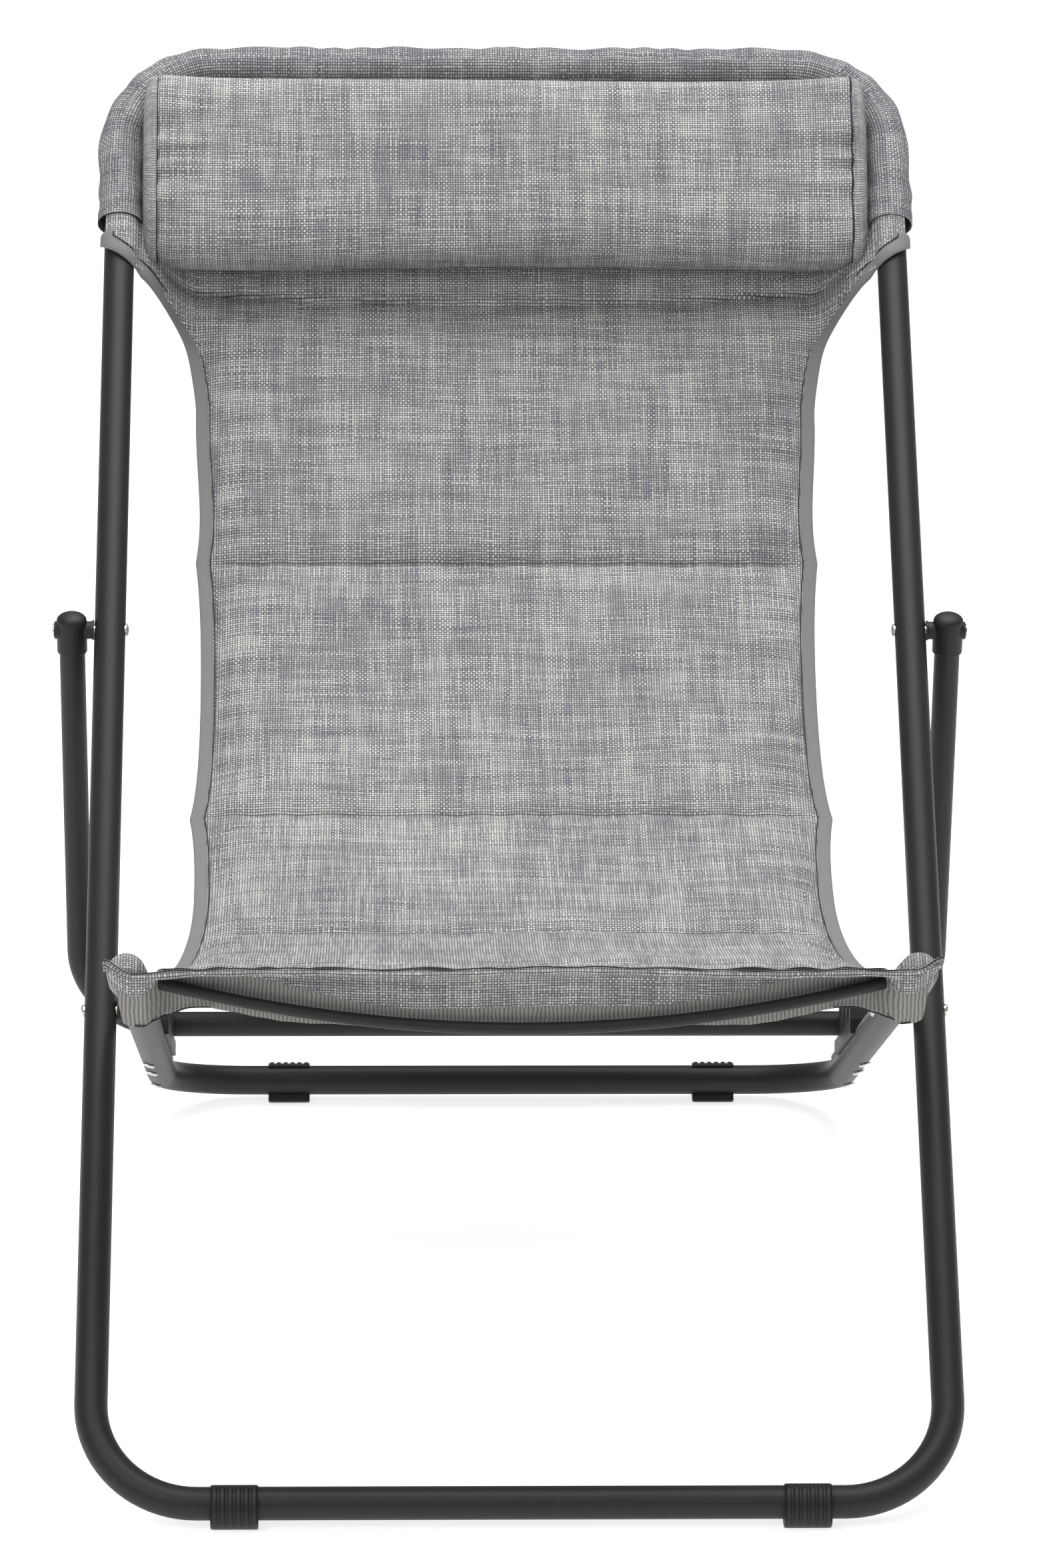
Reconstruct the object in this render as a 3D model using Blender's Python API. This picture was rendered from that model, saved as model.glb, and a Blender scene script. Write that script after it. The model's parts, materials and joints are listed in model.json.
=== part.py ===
"""Folding deck chair with a padded sling seat.

Three tube frames make the chair. The back frame is a long loop that stands on the floor at the front and
leans back. The seat frame is a U inside it, pinned to it, which stands on the floor at the rear. The prop
frame is a U outside the back frame: its rail lies in the notched racks on the seat frame and sets the angle.
The chair folds when the rail leaves the racks: the seat frame and the prop frame both swing up into the
plane of the back frame.

Units are metres, +Z is up, the sitter faces -Y. The origin is on the floor, under the middle of the chair.
"""

import math

import bmesh
import bpy
import numpy as np
from mathutils import Vector

# ---------------------------------------------------------------- driving dimensions
GAP = 0.0003                 # left between pieces that touch
TUBE_R = 0.0125              # back frame and seat frame tube
PROP_R = 0.01025             # prop frame tube
BOW_R = 0.0046               # solid bar of the front bow
WALL = 0.0012                # wall of every tube

BACK_HALF = 0.3205           # centre plane to the back frame's side tubes
BUSH_LENGTH = 0.0053         # room between the back frame's and the seat frame's side tubes

BACK_ANGLE = math.radians(40.72)   # back frame above the floor, chair set up
BACK_LENGTH = 1.2935         # front rail to top rail, centre to centre
SEAT_PIVOT_T = 0.4074        # front rail to the seat frame's pivot, along the back frame
PROP_PIVOT_T = 0.7474        # front rail to the prop frame's pivot, along the back frame
SEAT_REAR = 0.5473           # seat pivot to the rear rail
SEAT_FRONT = 0.2580          # seat pivot to the front ends of the seat frame
SEAT_FOLD = math.radians(68.0)     # travel of the seat frame

BACK_FOOT_BEND = 0.080       # centreline radii of the bends
BACK_TOP_BEND = 0.080
SEAT_BEND = 0.075
PROP_BEND = 0.070

JOINT_T = 1.190              # where the back frame's two halves meet, under the sleeve
SPIGOT = 0.040               # length of the swaged end inside the lower half
SLEEVE_T = 1.140             # lower edge of the fabric sleeve
SLEEVE_SKIN = 0.0030

BOW_SETBACK = 0.016          # front end of the seat frame to the bow
BOW_DIP = 0.040

NOTCH_S = 0.320              # seat pivot to the notch in use, along the seat frame
NOTCH_PITCH = 0.036
NOTCHES = 4
NOTCH_PLAY = 0.0018          # room beside the rail, for the start of its bends
RACK_FLOOR = 0.0009          # rack between the tube and the prop rail
RACK_TOOTH = 0.0225          # height of a tooth above a notch's floor
RACK_END = 0.0400            # notch in use to the end of the rack's flange
TAIL_END = 0.1580            # notch in use to the end of the strip behind it
RACK_BOTTOM = 0.0020         # flange's lower edge above the middle of the tube
RACK_SKIRT = 0.0029          # rack inboard of the tube
RACK_SHORT = 0.0042          # its other side, inboard of the tube's outer face
TAIL_SHORT = 0.0030
RACK_RIVETS = (0.295, 0.360, 0.466)   # from the seat pivot
RACK_RIVET_TILT = math.radians(20.0)
RACK_RIVET_HEAD = 0.0054

PIVOT_R = 0.0040             # rivet shanks
HOLE_PLAY = 0.0003
SEAT_HEAD_R = 0.0050
SEAT_HEAD_H = 0.0024
PROP_HEAD_R = 0.0054
PROP_HEAD_H = 0.0023
BUSH_R = 0.0080
WASHER = 0.0015

CAP_WALL = 0.00155           # tee cap: socket, boss and how far they reach
CAP_BELOW = 0.0185
CAP_ABOVE = 0.0085
CAP_DOME = 0.0065
BOSS_R = 0.0072
BOSS_NECK = 0.0038           # boss between the washer and the socket
BOSS_BEYOND = 0.0140         # boss past the middle of the socket

FOOT_X_FRONT = 0.2125
FOOT_X_REAR = 0.1830
FOOT_WIDTH = 0.0354
FOOT_DEEP = 0.0055           # sole below the tube
FOOT_THIN = 0.0018           # lip at the top of the tube
FOOT_RIBS = 6
FOOT_GROOVE = 0.0011

SLING_LENGTH = 1.128         # hem to top rail along the cloth
SLING_HALF = 0.2450          # half width of the padded sling
SLING_THICK = 0.0120
SLING_SPLIT = 0.290          # from the hem to where the seat part ends
HEM_AHEAD = 0.0045           # hem ahead of the front ends and above them
HEM_ABOVE = 0.0010
PILLOW_HALF = 0.3000
PILLOW_LENGTH = 0.186
PILLOW_THICK = 0.058
PILLOW_TOP_T = 1.2830
POCKET_SKIN = 0.0026
POCKET_LENGTH = 0.052

BEND_STEPS = 6
ROUND = 16                   # sides of a tube, a rivet or a bush

# ---------------------------------------------------------------- places worked out from them
SEAT_HALF = BACK_HALF - 2 * TUBE_R - BUSH_LENGTH      # centre plane to the seat frame's side tubes
CAP_R = PROP_R + GAP + CAP_WALL
PROP_HALF = BACK_HALF + TUBE_R + 2 * GAP + WASHER + BOSS_NECK + CAP_R   # centre plane to the prop frame's
BOSS_END = PROP_HALF + BOSS_BEYOND
RACK_IN = TUBE_R + GAP + RACK_SKIRT                   # the rack's sides, from the tube's middle
RACK_OUT = TUBE_R - RACK_SHORT
TAIL_IN = TUBE_R - TAIL_SHORT
FLOOR_TO_RAIL = TUBE_R + FOOT_DEEP
SLEEVE_R = TUBE_R + GAP + SLEEVE_SKIN
CAP_TOP = CAP_ABOVE - GAP


def foot_outline():
    """The clip's outer line round the rail, from its thin lip over the front to its flat sole."""
    found = []
    for k in range(16):
        turn = math.radians(82 + 232 * k / 15)
        swell = (FOOT_DEEP + 0.0012 - FOOT_THIN) * min(1.0, 1.35 * k / 15)
        radius = TUBE_R + GAP + FOOT_THIN + swell
        if turn > math.pi:
            radius = min(radius, FLOOR_TO_RAIL / max(1e-6, -math.sin(turn)))
        found.append((radius, turn))
    return found


DEPTH_FRONT = min(radius * math.cos(turn) for radius, turn in foot_outline())
DEPTH_BACK = BACK_LENGTH * math.cos(BACK_ANGLE) + SLEEVE_R
ORIGIN = np.array([0.0, -(DEPTH_FRONT + DEPTH_BACK) / 2, FLOOR_TO_RAIL])


class Plane:
    """A frame's own side view: along its tubes, square to them, and the width."""

    def __init__(self, base, angle):
        self.base = np.array(base, float)
        self.angle = angle
        self.along = np.array([0.0, math.cos(angle), math.sin(angle)])
        self.up = np.array([0.0, -math.sin(angle), math.cos(angle)])

    def at(self, x, along, up=0.0):
        return self.base + np.array([x, 0.0, 0.0]) + along * self.along + up * self.up


back = Plane(ORIGIN, BACK_ANGLE)
SEAT_PIVOT = back.at(0, SEAT_PIVOT_T)
PROP_PIVOT = back.at(0, PROP_PIVOT_T)
seat = Plane(SEAT_PIVOT, -math.asin((SEAT_PIVOT[2] - FLOOR_TO_RAIL) / SEAT_REAR))
NOTCH_UP = TUBE_R + GAP + RACK_FLOOR + GAP + PROP_R
RAIL = seat.at(0, NOTCH_S, NOTCH_UP)
PROP_LENGTH = float(np.linalg.norm(RAIL - PROP_PIVOT))
prop = Plane(PROP_PIVOT, math.atan2(RAIL[2] - PROP_PIVOT[2], RAIL[1] - PROP_PIVOT[1]))

# ---------------------------------------------------------------- scene, materials, bodies
for old in list(bpy.data.objects):
    bpy.data.objects.remove(old)


def material(name, colour, roughness, metallic=0.0):
    made = bpy.data.materials.new(name)
    made.use_nodes = True
    shader = made.node_tree.nodes["Principled BSDF"]
    shader.inputs["Base Color"].default_value = (*colour, 1.0)
    shader.inputs["Roughness"].default_value = roughness
    shader.inputs["Metallic"].default_value = metallic
    return made


COATED = material("powder_coated_steel", (0.036, 0.037, 0.034), 0.55)
PLASTIC = material("black_plastic", (0.012, 0.012, 0.012), 0.5)
STEEL = material("rivet_steel", (0.45, 0.45, 0.44), 0.35, 1.0)
MESH_CLOTH = material("grey_mesh_cloth", (0.33, 0.33, 0.35), 0.85)


def pivot_empty(name, place):
    made = bpy.data.objects.new(name, None)
    made.location = place
    bpy.context.scene.collection.objects.link(made)
    return made


BODIES = {
    "back": pivot_empty("back_frame_origin", (0, 0, 0)),
    "seat": pivot_empty("seat_frame_pivot", SEAT_PIVOT),
    "prop": pivot_empty("prop_frame_pivot", PROP_PIVOT),
}


# ---------------------------------------------------------------- shapes
def add(name, mesh, look, body):
    """Links a mesh, whose points are world places, as a child of a body's empty."""
    made = bpy.data.objects.new(name, mesh)
    made.data.materials.clear()
    made.data.materials.append(look)
    bpy.context.scene.collection.objects.link(made)
    if body is not None:
        made.parent = BODIES[body]
        made.location = -BODIES[body].location
    mesh.shade_smooth()
    mesh.set_sharp_from_angle(angle=math.radians(35))
    return made


def helper(made):
    """A cutter stays out of the model."""
    made.hide_render = True
    made.display_type = "WIRE"
    return made


def cut(target, cutter, operation="DIFFERENCE"):
    modifier = target.modifiers.new(cutter.name, "BOOLEAN")
    modifier.operation = operation
    modifier.object = cutter
    return target


def rounded(corners, radii, steps=BEND_STEPS):
    """Corner points with each inner corner replaced by an arc of its radius."""
    corners = [Vector(c) for c in corners]
    path = [corners[0]]
    for before, corner, after, radius in zip(corners, corners[1:], corners[2:], radii):
        to_a = (before - corner).normalized()
        to_b = (after - corner).normalized()
        half = to_a.angle(to_b) / 2
        centre = corner + (to_a + to_b).normalized() * radius / math.sin(half)
        start = corner + to_a * radius / math.tan(half) - centre
        end = corner + to_b * radius / math.tan(half) - centre
        turn = start.angle(end)
        for k in range(steps + 1):
            share = k / steps
            point = start * math.sin((1 - share) * turn) + end * math.sin(share * turn)
            path.append(centre + point / math.sin(turn))
    path.append(corners[-1])
    return path


def bar_mesh(name, path, radius, sides, capped):
    """A round bar or skin along a path, made as a bevelled poly curve."""
    curve = bpy.data.curves.new(name, "CURVE")
    curve.dimensions = "3D"
    curve.bevel_depth = radius
    curve.bevel_resolution = sides // 2 - 2
    curve.use_fill_caps = capped
    spline = curve.splines.new("POLY")
    spline.points.add(len(path) - 1)
    for point, place in zip(spline.points, path):
        point.co = (*place, 1.0)
    holder = bpy.data.objects.new(name + "_curve", curve)
    bpy.context.scene.collection.objects.link(holder)
    graph = bpy.context.evaluated_depsgraph_get()
    mesh = bpy.data.meshes.new_from_object(holder.evaluated_get(graph))
    bpy.data.objects.remove(holder)
    mesh.name = name
    return mesh


def rod(name, path, radius, look, body, sides=ROUND):
    mesh = bar_mesh(name, path, radius, sides, True)
    shape = bmesh.new()
    shape.from_mesh(mesh)
    bmesh.ops.remove_doubles(shape, verts=shape.verts, dist=1e-6)
    bmesh.ops.recalc_face_normals(shape, faces=shape.faces)
    shape.to_mesh(mesh)
    shape.free()
    return add(name, mesh, look, body)


def pipe(name, path, radius, wall, look, body, sides=ROUND):
    """A hollow tube: the skin of a bar, given its wall inwards."""
    made = add(name, bar_mesh(name, path, radius, sides, False), look, body)
    solidify = made.modifiers.new("Wall", "SOLIDIFY")
    solidify.thickness = wall
    solidify.offset = -1.0
    return made


def loft(name, rings, look, body):
    """A closed solid through rings of equally many points, bridged in order and capped."""
    shape = bmesh.new()
    loops = [[shape.verts.new(p) for p in ring] for ring in rings]
    for low, high in zip(loops, loops[1:]):
        for k in range(len(low)):
            n = (k + 1) % len(low)
            shape.faces.new((low[k], low[n], high[n], high[k]))
    shape.faces.new(loops[0][::-1])
    shape.faces.new(loops[-1])
    bmesh.ops.recalc_face_normals(shape, faces=shape.faces)
    mesh = bpy.data.meshes.new(name)
    shape.to_mesh(mesh)
    shape.free()
    return add(name, mesh, look, body)


def turned(name, base, axis, profile, look, body, sides=ROUND):
    """A solid turned about an axis from base: profile holds (along, radius) pairs, low end first."""
    axis = Vector(axis).normalized()
    side = axis.orthogonal().normalized()
    other = axis.cross(side)
    turns = [2 * math.pi * k / sides for k in range(sides)]
    rings = [
        [
            Vector(base) + axis * along + (side * math.cos(t) + other * math.sin(t)) * radius
            for t in turns
        ]
        for along, radius in profile
    ]
    return loft(name, rings, look, body)


def dome(along, height, radius, low=0.35, steps=3):
    """Profile points of a low dome that rises by height from a rim of that radius."""
    turns = [math.pi / 2 * k / steps for k in range(steps + 1)]
    return [
        (along + height * math.sin(t), radius * (low + (1 - low) * math.cos(t)))
        for t in turns
    ]


def both(function):
    """Calls a maker for the left side (-1) and the right side (+1)."""
    for side, word in ((-1, "left"), (1, "right")):
        function(side, word)


# ---------------------------------------------------------------- back frame
def back_path(low, high, low_bend, high_bend):
    """The U from one end at t=high, round the rail at t=low, to the other end."""
    corners = [
        back.at(-BACK_HALF, high),
        back.at(-BACK_HALF, low),
        back.at(BACK_HALF, low),
        back.at(BACK_HALF, high),
    ]
    return rounded(corners, (low_bend, high_bend))


lower = pipe(
    "back_frame_lower",
    back_path(0, JOINT_T - GAP, BACK_FOOT_BEND, BACK_FOOT_BEND),
    TUBE_R, WALL, COATED, "back",
)
upper = pipe(
    "back_frame_upper",
    back_path(BACK_LENGTH, JOINT_T, BACK_TOP_BEND, BACK_TOP_BEND),
    TUBE_R, WALL, COATED, "back",
)
SPIGOT_R = TUBE_R - WALL - GAP


def spigot(side, word):
    """The swaged end: a tube that fits inside both halves."""
    pipe(
        f"frame_spigot_{word}",
        [back.at(side * BACK_HALF, JOINT_T + t) for t in (-SPIGOT, SPIGOT / 2)],
        SPIGOT_R, WALL, COATED, "back",
    )


both(spigot)


# ---------------------------------------------------------------- seat frame
def seat_path(front, rear):
    corners = [
        seat.at(-SEAT_HALF, front),
        seat.at(-SEAT_HALF, rear),
        seat.at(SEAT_HALF, rear),
        seat.at(SEAT_HALF, front),
    ]
    return rounded(corners, (SEAT_BEND, SEAT_BEND))


seat_tube = pipe(
    "seat_frame_tube", seat_path(-SEAT_FRONT, SEAT_REAR), TUBE_R, WALL, COATED, "seat"
)

BOW_STEPS = 18


def bow_point(share):
    """A parabola square to the seat frame's plane, from side tube to side tube."""
    x = SEAT_HALF * share
    return seat.at(x, BOW_SETBACK - SEAT_FRONT, -BOW_DIP * (1 - share * share))


bow_path = [bow_point(2 * k / BOW_STEPS - 1) for k in range(BOW_STEPS + 1)]
rod("front_bow", bow_path, BOW_R, COATED, "seat", sides=12)


def bow_hole(side, word):
    """Each end of the bow enters the inner wall of its side tube."""
    ends = [bow_point(side * share) for share in (0.9, 0.97, 1.0)]
    cutter = rod(f"bow_hole_{word}", ends, BOW_R + HOLE_PLAY, COATED, "seat", sides=12)
    cut(seat_tube, helper(cutter))


both(bow_hole)

END_CAP_STUB = 0.0090


def seat_end_cap(side, word):
    """A plug with a low dome in the open front end of the side tube."""
    profile = [
        (-END_CAP_STUB, TUBE_R - WALL - 2 * GAP - 0.0004),
        (GAP, TUBE_R - WALL - 2 * GAP - 0.0004),
        (GAP, TUBE_R - 0.0002),
        (0.0015, TUBE_R - 0.0002),
        *dome(0.0022, 0.0030, TUBE_R - 0.0008),
    ]
    profile = [(max(along, -END_CAP_STUB), radius) for along, radius in profile]
    base = seat.at(side * SEAT_HALF, -SEAT_FRONT)
    turned(f"seat_end_cap_{word}", base, -seat.along, profile, PLASTIC, "seat")


both(seat_end_cap)


# ---------------------------------------------------------------- prop frame
prop_tube = pipe(
    "prop_frame",
    rounded(
        [
            prop.at(-PROP_HALF, -CAP_TOP),
            prop.at(-PROP_HALF, PROP_LENGTH),
            prop.at(PROP_HALF, PROP_LENGTH),
            prop.at(PROP_HALF, -CAP_TOP),
        ],
        (PROP_BEND, PROP_BEND),
    ),
    PROP_R, WALL, COATED, "prop",
)
WASHER_IN = BACK_HALF + TUBE_R + GAP
BOSS_IN = WASHER_IN + WASHER + GAP


def prop_cap(side, word):
    """A moulded tee: a socket over the tube's end and a boss that turns on the rivet."""
    outward = (side, 0, 0)
    base = prop.at(side * PROP_HALF, 0)
    socket = turned(
        f"prop_cap_{word}", base, -prop.along,
        [(-CAP_BELOW, CAP_R - 0.0006), (0.001 - CAP_BELOW, CAP_R), *dome(CAP_ABOVE, CAP_DOME, CAP_R)],
        PLASTIC, "prop",
    )
    boss = turned(
        f"boss_{word}", prop.at(side * BOSS_IN, 0), outward,
        [(0, BOSS_R), (BOSS_END - BOSS_IN - 0.0008, BOSS_R), (BOSS_END - BOSS_IN, BOSS_R - 0.0008)],
        PLASTIC, "prop",
    )
    bore = turned(
        f"socket_bore_{word}", base, -prop.along,
        [(-CAP_BELOW - 0.01, PROP_R + HOLE_PLAY), (CAP_ABOVE, PROP_R + HOLE_PLAY)],
        PLASTIC, "prop",
    )
    rivet_bore = turned(
        f"rivet_bore_{word}", prop.at(side * (BOSS_IN - 0.02), 0), outward,
        [(0, PIVOT_R + HOLE_PLAY), (0.08, PIVOT_R + HOLE_PLAY)],
        PLASTIC, "prop",
    )
    cut(socket, helper(boss), "UNION")
    cut(socket, helper(bore))
    cut(socket, helper(rivet_bore))
    cut(prop_tube, rivet_bore)


both(prop_cap)


# ---------------------------------------------------------------- rivets on the two pivots
def seat_rivet(side, word):
    """Joins the back frame and the seat frame, with a bush between the tubes."""
    inner = SEAT_HALF - TUBE_R - GAP
    outer = BACK_HALF + TUBE_R + GAP
    outward = (side, 0, 0)
    profile = [
        *[(-a, r) for a, r in reversed(dome(0.0005, SEAT_HEAD_H, SEAT_HEAD_R))],
        (0, SEAT_HEAD_R),
        (0, PIVOT_R),
        (outer - inner, PIVOT_R),
        (outer - inner, SEAT_HEAD_R),
        *dome(outer - inner + 0.0005, SEAT_HEAD_H, SEAT_HEAD_R),
    ]
    turned(f"seat_rivet_{word}", back.at(side * inner, SEAT_PIVOT_T), outward, profile, STEEL, "back")
    hole = turned(
        f"seat_rivet_hole_{word}", back.at(side * (inner - 0.01), SEAT_PIVOT_T), outward,
        [(0, PIVOT_R + HOLE_PLAY), (outer - inner + 0.02, PIVOT_R + HOLE_PLAY)],
        STEEL, "back",
    )
    cut(lower, helper(hole))
    cut(seat_tube, hole)


def seat_bush(side, word):
    start = SEAT_HALF + TUBE_R + GAP
    end = BACK_HALF - TUBE_R - GAP
    bush = turned(
        f"seat_bush_{word}", back.at(side * start, SEAT_PIVOT_T), (side, 0, 0),
        [(0, BUSH_R), (end - start, BUSH_R)], PLASTIC, "back",
    )
    cut(bush, bpy.data.objects[f"seat_rivet_hole_{word}"])


def prop_rivet(side, word):
    """Holds the tee cap to the back frame, with a washer between them."""
    inner = BACK_HALF - TUBE_R - GAP
    outer = BOSS_END + GAP
    outward = (side, 0, 0)
    profile = [
        *[(-a, r) for a, r in reversed(dome(0.0005, PROP_HEAD_H, PROP_HEAD_R))],
        (0, PROP_HEAD_R),
        (0, PIVOT_R),
        (outer - inner, PIVOT_R),
        (outer - inner, PROP_HEAD_R),
        *dome(outer - inner + 0.0004, 0.0012, PROP_HEAD_R),
    ]
    turned(f"prop_rivet_{word}", back.at(side * inner, PROP_PIVOT_T), outward, profile, STEEL, "back")
    hole = turned(
        f"prop_rivet_hole_{word}", back.at(side * (inner - 0.01), PROP_PIVOT_T), outward,
        [(0, PIVOT_R + HOLE_PLAY), (outer - inner + 0.02, PIVOT_R + HOLE_PLAY)],
        STEEL, "back",
    )
    cut(lower, helper(hole))
    washer = turned(
        f"prop_washer_{word}", back.at(side * WASHER_IN, PROP_PIVOT_T), outward,
        [(0, BUSH_R), (WASHER, BUSH_R)], PLASTIC, "back",
    )
    cut(washer, hole)


both(seat_rivet)
both(seat_bush)
both(prop_rivet)


# ---------------------------------------------------------------- racks on the seat frame
def rack_outline():
    """Side view (along, up): a tooth ahead of each notch, open behind the last one."""
    floor = TUBE_R + GAP + RACK_FLOOR
    tip = floor + RACK_TOOTH
    half = PROP_R + NOTCH_PLAY
    points = [(NOTCH_S + RACK_END, RACK_BOTTOM), (NOTCH_S + RACK_END, floor)]
    for k in range(NOTCHES):
        middle = NOTCH_S - k * NOTCH_PITCH
        points += [
            (middle, floor),
            (middle - 0.6 * half, floor + 0.0008),
            (middle - half, floor + 0.0045),
            (middle - half, tip - 0.0015),
            (middle - half - 0.0015, tip),
            (middle - half - 0.0050, tip),
            (middle - half - 0.0110, floor),
        ]
    return [*points, (points[-1][0], RACK_BOTTOM)]


tube_clearance = helper(
    rod("tube_clearance", seat_path(-SEAT_FRONT, SEAT_REAR), TUBE_R + GAP, PLASTIC, "seat")
)


def rack(side, word):
    """A toothed strip that sits on the side tube, with a flange down its inner side and a plain tail."""
    edges = (side * (SEAT_HALF - RACK_IN), side * (SEAT_HALF + RACK_OUT))
    made = loft(
        f"rack_{word}", [[seat.at(x, s, h) for s, h in rack_outline()] for x in edges],
        PLASTIC, "seat",
    )
    floor = TUBE_R + GAP + RACK_FLOOR - 0.0001
    start = RACK_END - 0.012
    strip = ((start, 0.004), (TAIL_END, 0.004), (TAIL_END, floor - 0.0008), (TAIL_END - 0.003, floor), (start, floor))
    edges = (side * (SEAT_HALF - TAIL_IN), side * (SEAT_HALF + RACK_OUT - 0.0003))
    tail = loft(
        f"tail_{word}", [[seat.at(x, NOTCH_S + s, h) for s, h in strip] for x in edges],
        PLASTIC, "seat",
    )
    cut(made, helper(tail), "UNION")
    for n, s in enumerate(RACK_RIVETS, 1):
        rack_rivet(side, word, n, s, made)
    cut(made, tube_clearance)


def rack_rivet(side, word, n, s, made):
    """A blind rivet from below: its head shows under the tube and its shank ends in the rack's floor."""
    down = side * math.sin(RACK_RIVET_TILT) * np.array([1.0, 0, 0])
    down = down - math.cos(RACK_RIVET_TILT) * seat.up
    centre = seat.at(side * SEAT_HALF, s)
    shank = 0.0022
    rim = TUBE_R + GAP
    profile = [
        (-TUBE_R - GAP - 0.0013, shank),
        (rim, shank),
        (rim, RACK_RIVET_HEAD),
        *dome(rim + 0.0006, 0.0014, RACK_RIVET_HEAD),
    ]
    turned(f"rack_rivet_{word}_{n}", centre, down, profile, STEEL, "seat", sides=12)
    hole = turned(
        f"rack_rivet_hole_{word}_{n}", centre, down,
        [(-TUBE_R - GAP - 0.0032, shank + HOLE_PLAY), (0.03, shank + HOLE_PLAY)],
        STEEL, "seat", sides=12,
    )
    cut(seat_tube, helper(hole))
    cut(made, hole)


both(rack)


# ---------------------------------------------------------------- feet
def foot(name, x, y, facing, body):
    """A clip round the floor rail, open on the side away from facing, with a flat sole and ribs."""
    inner = TUBE_R + GAP
    stations = 2 * FOOT_RIBS - 1
    rings = []
    for k in range(stations):
        across = x + FOOT_WIDTH * (k / (stations - 1) - 0.5)
        grooved = [FOOT_GROOVE if k % 2 and 0 < n < 9 else 0.0 for n in range(16)]
        ring = [
            (across, y + facing * (r - g) * math.cos(t), FLOOR_TO_RAIL + (r - g) * math.sin(t))
            for (r, t), g in zip(foot_outline(), grooved)
        ]
        for n in range(12):
            t = math.radians(314 - 232 * n / 11)
            ring.append((across, y + facing * inner * math.cos(t), FLOOR_TO_RAIL + inner * math.sin(t)))
        rings.append(ring)
    return loft(name, rings, PLASTIC, body)


def feet(side, word):
    foot(f"front_foot_{word}", side * FOOT_X_FRONT, back.at(0, 0)[1], 1, "back")
    foot(f"rear_foot_{word}", side * FOOT_X_REAR, seat.at(0, SEAT_REAR)[1], -1, "seat")


both(feet)


# ---------------------------------------------------------------- cloth
def catenary(start, end, length, points):
    """Places along a hanging line of that length between two points of the side view, and their slopes."""
    span, rise = end[0] - start[0], end[1] - start[1]
    low, high = 0.01, 50.0
    for _ in range(80):
        middle = math.sqrt(low * high)
        if 2 * middle * math.sinh(span / (2 * middle)) > math.sqrt(length**2 - rise**2):
            low = middle
        else:
            high = middle
    a = middle
    centre = (start[0] + end[0]) / 2 - a * math.atanh(rise / length)
    drop = start[1] - a * math.cosh((start[0] - centre) / a)
    first = a * math.sinh((start[0] - centre) / a)
    found = []
    for s in points:
        y = centre + a * math.asinh((first + s) / a)
        found.append((y, a * math.cosh((y - centre) / a) + drop, math.atan(math.sinh((y - centre) / a))))
    return found


HEM = seat.at(0, -SEAT_FRONT - HEM_AHEAD, HEM_ABOVE)
TOP = back.at(0, BACK_LENGTH)


def sling_part(name, first, last, body, steps):
    """A padded strip between two distances from the hem, following the hanging line."""
    distances = [first + (last - first) * k / steps for k in range(steps + 1)]
    rings = []
    for y, z, slope in catenary(HEM[1:], TOP[1:], SLING_LENGTH, distances):
        across = np.array([-math.sin(slope), math.cos(slope)]) * SLING_THICK / 2
        corners = ((-1, -1), (1, -1), (1, 1), (-1, 1))
        rings.append(
            [(w * SLING_HALF, y + u * across[0], z + u * across[1]) for w, u in corners]
        )
    return loft(name, rings, MESH_CLOTH, body)


SLEEVE_CLEAR = 0.022
sling_part("seat_panel", 0.014, SLING_SPLIT - GAP, "seat", 7)
sling_part("back_panel", SLING_SPLIT + GAP, SLING_LENGTH - SLEEVE_CLEAR, "back", 14)

pipe(
    "top_sleeve",
    back_path(BACK_LENGTH, SLEEVE_T, BACK_TOP_BEND, BACK_TOP_BEND),
    SLEEVE_R, SLEEVE_SKIN, MESH_CLOTH, "back",
)


def pillow():
    """A rounded bolster on the front of the back panel, fuller in the middle than at its ends."""
    places = catenary(HEM[1:], TOP[1:], SLING_LENGTH, [SLING_LENGTH - 0.03, SLING_LENGTH - 0.03 - PILLOW_LENGTH])
    top, bottom = (np.array(p[:2]) for p in places)
    slope = math.atan2(*(top - bottom)[::-1])
    along = np.array([math.cos(slope), math.sin(slope)])
    front = np.array([-math.sin(slope), math.cos(slope)])
    lift = TUBE_R + SLEEVE_SKIN + 2 * GAP + 0.004
    centre = (top + bottom) / 2 + front * (lift + PILLOW_THICK / 2)
    shares = [math.sin(math.pi / 2 * (2 * k / 12 - 1)) for k in range(13)]
    rings = []
    for share in shares:
        full = (1 - abs(share) ** 6) ** 0.5 * 0.45 + 0.55
        ring = []
        for k in range(16):
            t = 2 * math.pi * k / 16
            c, s = math.cos(t), math.sin(t)
            a = math.copysign(abs(c) ** 0.6, c) * PILLOW_LENGTH / 2 * full
            f = math.copysign(abs(s) ** 0.8, s) * PILLOW_THICK / 2 * full
            y, z = centre + along * a + front * f
            ring.append((share * PILLOW_HALF, y, z))
        rings.append(ring)
    return loft("headrest_pillow", rings, MESH_CLOTH, "back")


pillow()


def pocket(side, word):
    """The cloth pocket over a front corner, open behind and slit where the bow comes out."""
    reach = 0.0072
    path = [
        seat.at(side * SEAT_HALF, -SEAT_FRONT - reach),
        seat.at(side * SEAT_HALF, -SEAT_FRONT - reach + POCKET_LENGTH),
    ]
    skin = pipe(
        f"corner_pocket_{word}", path, TUBE_R + 2 * GAP + POCKET_SKIN, POCKET_SKIN,
        MESH_CLOTH, "seat",
    )
    ends = [bow_point(side * share) for share in (0.8, 0.9, 1.0)]
    slit = rod(f"pocket_slit_{word}", ends, BOW_R + 0.0012, MESH_CLOTH, "seat", sides=12)
    cut(skin, helper(slit))


both(pocket)
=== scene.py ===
import json
import math

import bpy
import numpy as np
from mathutils import Matrix


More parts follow.
